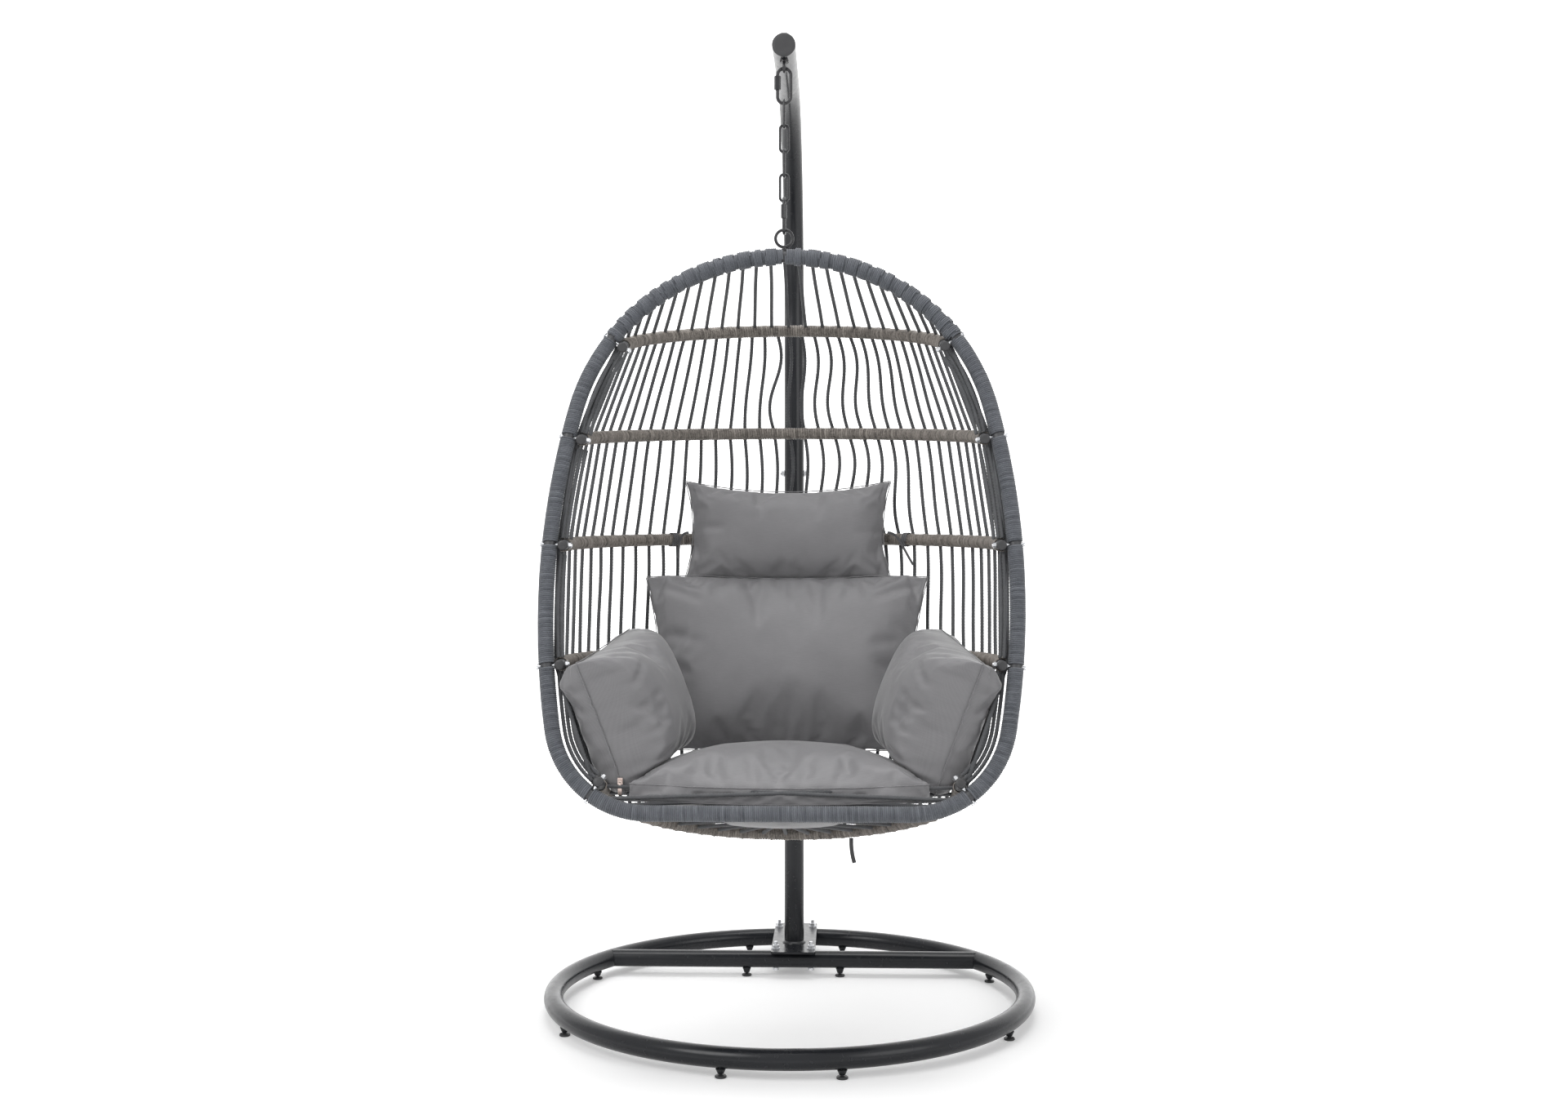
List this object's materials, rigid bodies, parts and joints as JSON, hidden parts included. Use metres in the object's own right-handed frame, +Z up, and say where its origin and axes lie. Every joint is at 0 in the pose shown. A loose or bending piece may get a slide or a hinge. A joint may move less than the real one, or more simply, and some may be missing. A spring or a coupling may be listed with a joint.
{
  "type": "hanging egg chair",
  "caption": "Rope basket chair hung by a chain from a curved steel stand with a ring base, with seat, back, arm and head cushions.",
  "frame": {"origin": "on the floor, under the middle of the chair's overall box", "axes": "+Z up; the open front of the basket faces -Y and the post stands at +Y; +X is the viewer's right from the front"},
  "size_m": [1.0299, 1.1582, 1.9582],
  "materials": {
    "frame_coat": "satin powder coat, anthracite",
    "bolt_zinc": "bright zinc plate",
    "chain_black": "black coated steel, satin",
    "basket_coat": "satin powder coat, anthracite",
    "cap_plastic": "black, fine grain",
    "rim_cord": "wound round cord, blue grey",
    "wicker": "flat woven strand, brown grey",
    "rope": "twisted rope, dark grey",
    "cushion_cloth": "woven polyester, mid grey, slight sheen",
    "zip_metal": "bright",
    "tape_cloth": "woven tape, dark grey"
  },
  "bodies": {
    "stand": {"base_ring": "frame_coat", "crossbar_left": "frame_coat", "crossbar_right": "frame_coat", "base_plate": "frame_coat", "plate_bolts": "bolt_zinc", "plate_washers": "bolt_zinc", "plate_nuts": "bolt_zinc", "lower_post": "frame_coat", "upper_arm": "frame_coat", "post_bolt": "bolt_zinc", "post_nut": "bolt_zinc", "arm_cap": "cap_plastic", "eye_bolt": "bolt_zinc", "eye_nut": "bolt_zinc", "foot_bosses": "frame_coat"},
    "foot_1": {"foot_1": "cap_plastic"},
    "foot_2": {"foot_2": "cap_plastic"},
    "foot_3": {"foot_3": "cap_plastic"},
    "foot_4": {"foot_4": "cap_plastic"},
    "foot_5": {"foot_5": "cap_plastic"},
    "foot_6": {"foot_6": "cap_plastic"},
    "foot_7": {"foot_7": "cap_plastic"},
    "foot_8": {"foot_8": "cap_plastic"},
    "foot_9": {"foot_9": "cap_plastic"},
    "foot_10": {"foot_10": "cap_plastic"},
    "top_link": {"top_quick_link": "chain_black"},
    "top_sleeve": {"top_link_sleeve": "chain_black"},
    "link_1": {"chain_link_1": "chain_black"},
    "link_2": {"chain_link_2": "chain_black"},
    "link_3": {"chain_link_3": "chain_black"},
    "link_4": {"chain_link_4": "chain_black"},
    "low_link": {"bottom_quick_link": "chain_black"},
    "low_sleeve": {"bottom_link_sleeve": "chain_black"},
    "basket": {"hanging_ring": "chain_black", "rim_tube": "basket_coat", "rim_wrap": "rim_cord", "rib_tube_1": "basket_coat", "rib_tube_2": "basket_coat", "rib_tube_3": "basket_coat", "rib_tube_4": "basket_coat", "rib_tube_5": "basket_coat", "rib_wraps": "wicker", "rib_bolts": "bolt_zinc", "rib_nuts": "bolt_zinc", "hood_ropes": "rope", "back_ropes": "rope", "seat_ropes": "rope", "seat_cushion": "cushion_cloth", "back_cushion": "cushion_cloth", "arm_cushion_left": "cushion_cloth", "arm_cushion_right": "cushion_cloth", "head_cushion": "cushion_cloth", "zip_slider": "zip_metal", "head_tie_left": "tape_cloth", "head_tie_right": "tape_cloth", "seat_strap": "tape_cloth"},
    "zip_pull": {"zip_pull": "zip_metal"}
  },
  "joints": [
    {"name": "foot_1_level", "type": "slide", "parent": "stand", "child": "foot_1", "axis": [0, 0, -1], "range_m": [0, 0.008]},
    {"name": "foot_2_level", "type": "slide", "parent": "stand", "child": "foot_2", "axis": [0, 0, -1], "range_m": [0, 0.008]},
    {"name": "foot_3_level", "type": "slide", "parent": "stand", "child": "foot_3", "axis": [0, 0, -1], "range_m": [0, 0.008]},
    {"name": "foot_4_level", "type": "slide", "parent": "stand", "child": "foot_4", "axis": [0, 0, -1], "range_m": [0, 0.008]},
    {"name": "foot_5_level", "type": "slide", "parent": "stand", "child": "foot_5", "axis": [0, 0, -1], "range_m": [0, 0.008]},
    {"name": "foot_6_level", "type": "slide", "parent": "stand", "child": "foot_6", "axis": [0, 0, -1], "range_m": [0, 0.008]},
    {"name": "foot_7_level", "type": "slide", "parent": "stand", "child": "foot_7", "axis": [0, 0, -1], "range_m": [0, 0.008]},
    {"name": "foot_8_level", "type": "slide", "parent": "stand", "child": "foot_8", "axis": [0, 0, -1], "range_m": [0, 0.008]},
    {"name": "foot_9_level", "type": "slide", "parent": "stand", "child": "foot_9", "axis": [0, 0, -1], "range_m": [0, 0.008]},
    {"name": "foot_10_level", "type": "slide", "parent": "stand", "child": "foot_10", "axis": [0, 0, -1], "range_m": [0, 0.008]},
    {"name": "swing_fore_aft", "type": "hinge", "parent": "stand", "child": "top_link", "pos_m": [0, -0.28894, 1.89075], "axis": [1, 0, 0], "range_deg": [-10, 10]},
    {"name": "swing_sideways", "type": "hinge", "parent": "top_link", "child": "link_1", "pos_m": [0, -0.28894, 1.8298], "axis": [0, 1, 0], "range_deg": [-10, 10]},
    {"name": "twist_1", "type": "hinge", "parent": "link_1", "child": "link_2", "pos_m": [0, -0.28894, 1.7826], "axis": [0, 0, 1], "range_deg": [-18, 18]},
    {"name": "twist_2", "type": "hinge", "parent": "link_2", "child": "link_3", "pos_m": [0, -0.28894, 1.7354], "axis": [0, 0, 1], "range_deg": [-18, 18]},
    {"name": "twist_3", "type": "hinge", "parent": "link_3", "child": "link_4", "pos_m": [0, -0.28894, 1.6882], "axis": [0, 0, 1], "range_deg": [-18, 18]},
    {"name": "twist_4", "type": "hinge", "parent": "link_4", "child": "low_link", "pos_m": [0, -0.28894, 1.64175], "axis": [0, 0, 1], "range_deg": [-18, 18]},
    {"name": "nod", "type": "hinge", "parent": "low_link", "child": "basket", "pos_m": [0, -0.28894, 1.5813], "axis": [1, 0, 0], "range_deg": [-6, 6]},
    {"name": "top_sleeve_screw", "type": "slide", "parent": "top_link", "child": "top_sleeve", "axis": [0, 0, -1], "range_m": [0, 0.012]},
    {"name": "low_sleeve_screw", "type": "slide", "parent": "low_link", "child": "low_sleeve", "axis": [0, 0, -1], "range_m": [0, 0.012]},
    {"name": "zip_pull_swing", "type": "hinge", "parent": "basket", "child": "zip_pull", "pos_m": [-0.28402, -0.53061, 0.55491], "axis": [-1, 0, 0], "range_deg": [0, 110]}
  ]
}
